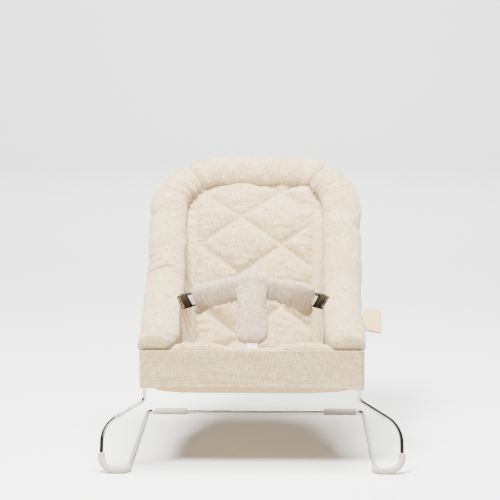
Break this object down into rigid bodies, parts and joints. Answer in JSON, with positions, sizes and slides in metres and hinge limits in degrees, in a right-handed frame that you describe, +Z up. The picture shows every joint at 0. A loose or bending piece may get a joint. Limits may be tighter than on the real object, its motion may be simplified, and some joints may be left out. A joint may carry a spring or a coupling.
{
  "type": "baby bouncer seat",
  "caption": "Baby bouncer seat: sprung chrome wire base, reclining padded hoop, quilted linen-look sling and a T-shaped padded harness with side buckles.",
  "frame": {"origin": "on the floor under the middle of the seat's bounding box", "axes": "+Z up, -Y the way the child faces, +X the child's left"},
  "size_m": [0.5554, 0.5513, 0.5206],
  "materials": {
    "chrome_wire": "polished chrome",
    "rubber_sleeve": "matt",
    "zinc": "zinc plated",
    "hub_plastic": "moulded",
    "linen": "linen-look weave",
    "lining": "plain weave",
    "harness_linen": "linen-look weave",
    "black_buckle": "moulded",
    "webbing": "woven tape",
    "tag_tape": "woven tape"
  },
  "bodies": {
    "base": {"base_rail": "chrome_wire", "foot_sleeve_left": "rubber_sleeve", "foot_sleeve_right": "rubber_sleeve", "rear_sleeve_left": "rubber_sleeve", "rear_sleeve_right": "rubber_sleeve"},
    "seat": {"spreader_rod": "zinc", "front_band": "linen", "band_facing": "linen", "seat_panel": "linen", "seat_lining": "lining", "harness_pad": "harness_linen", "crotch_strap": "webbing", "label_tag": "tag_tape", "spring_wire_left": "chrome_wire", "spring_wire_right": "chrome_wire", "spreader_clamp_left": "hub_plastic", "spreader_clamp_right": "hub_plastic", "hub_seat_half_left": "hub_plastic", "hub_seat_half_right": "hub_plastic", "pivot_rivet_left": "zinc", "pivot_rivet_right": "zinc", "lock_spring_left": "chrome_wire", "lock_spring_right": "chrome_wire", "seat_gusset_left": "linen", "seat_gusset_right": "linen", "lower_bolster_left": "linen", "lower_bolster_right": "linen", "waist_strap_left": "webbing", "waist_strap_right": "webbing", "buckle_socket_left": "black_buckle", "buckle_socket_right": "black_buckle"},
    "backrest": {"backrest_hoop": "zinc", "back_panel": "linen", "back_lining": "lining", "top_bolster": "linen", "hub_back_half_left": "hub_plastic", "hub_back_half_right": "hub_plastic", "back_gusset_left": "linen", "back_gusset_right": "linen", "upper_bolster_left": "linen", "upper_bolster_right": "linen"},
    "lock_left": {"lock_gear_left": "zinc"},
    "button_left": {"release_button_left": "hub_plastic"},
    "plug_left": {"buckle_plug_left": "black_buckle", "arm_strap_left": "webbing"},
    "lock_right": {"lock_gear_right": "zinc"},
    "button_right": {"release_button_right": "hub_plastic"},
    "plug_right": {"buckle_plug_right": "black_buckle", "arm_strap_right": "webbing"}
  },
  "joints": [
    {"name": "bounce", "type": "hinge", "parent": "base", "child": "seat", "pos_m": [0, -0.25802, 0.03257], "axis": [-1, 0, 0], "range_deg": [-4, 5], "stiffness_Nm_per_rad": 170, "springref_deg": -2.06},
    {"name": "recline", "type": "hinge", "parent": "seat", "child": "backrest", "pos_m": [0, -0.00016, 0.29612], "axis": [-1, 0, 0], "range_deg": [-10, 16]},
    {"name": "lock_left", "type": "slide", "parent": "seat", "child": "lock_left", "axis": [1, 0, 0], "range_m": [0, 0.0055], "stiffness_N_per_m": 600, "springref_m": -0.003, "deforming": ["lock_spring_left"]},
    {"name": "button_left", "type": "slide", "parent": "backrest", "child": "button_left", "axis": [1, 0, 0], "range_m": [0, 0.0055]},
    {"name": "buckle_left", "type": "slide", "parent": "seat", "child": "plug_left", "axis": [0.6079, -0.7507, 0.2588], "range_m": [0, 0.018]},
    {"name": "lock_right", "type": "slide", "parent": "seat", "child": "lock_right", "axis": [-1, 0, 0], "range_m": [0, 0.0055], "stiffness_N_per_m": 600, "springref_m": -0.003, "deforming": ["lock_spring_right"]},
    {"name": "button_right", "type": "slide", "parent": "backrest", "child": "button_right", "axis": [-1, 0, 0], "range_m": [0, 0.0055]},
    {"name": "buckle_right", "type": "slide", "parent": "seat", "child": "plug_right", "axis": [-0.6079, -0.7507, 0.2588], "range_m": [0, 0.018]}
  ],
  "couplings": [
    {"joint": "button_left", "follows": "lock_left", "ratio": 1},
    {"joint": "button_right", "follows": "lock_right", "ratio": 1}
  ]
}
